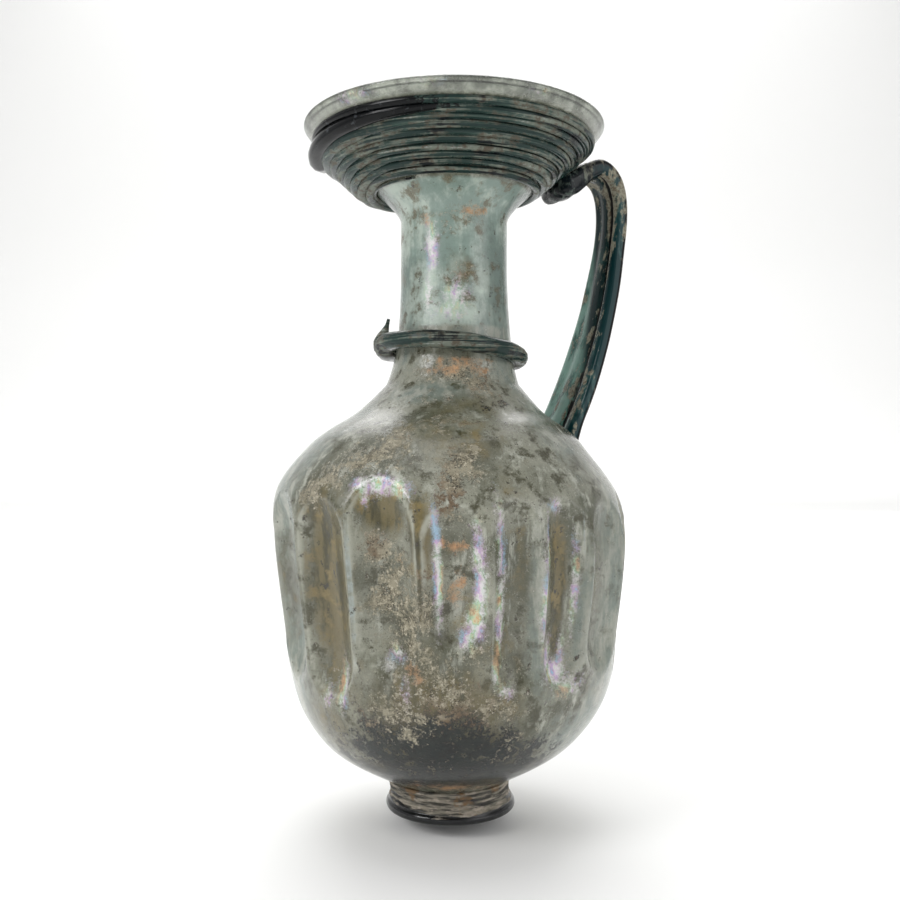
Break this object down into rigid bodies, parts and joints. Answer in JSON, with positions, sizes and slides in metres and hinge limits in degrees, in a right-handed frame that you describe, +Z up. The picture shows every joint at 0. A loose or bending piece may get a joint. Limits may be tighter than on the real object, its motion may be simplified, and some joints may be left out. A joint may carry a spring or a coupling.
{
  "type": "glass jug",
  "caption": "Ancient blown glass jug with a dimpled body, tall neck, funnel mouth wound with a glass thread, collar trail, pad foot and ribbed strap handle.",
  "frame": {"origin": "on the jug's axis, on the flat underside of the foot", "axes": "+Z up the jug to its mouth; -Y is the front of the picture; the handle is on the +X side, turned a little towards +Y"},
  "size_m": [0.1081, 0.1039, 0.2009],
  "materials": {
    "blown_glass": "weathered, with a pearly film, stains and crust",
    "foot_glass": "weathered, tooled, dark at the rolled edge",
    "trail_glass": "dark thread with a grey weathered skin",
    "handle_glass": "dark teal with flaking pale film"
  },
  "bodies": {
    "root": {"vessel": "blown_glass", "foot": "foot_glass", "neck_collar": "trail_glass", "mouth_trail": "trail_glass", "handle": "handle_glass"}
  },
  "joints": []
}
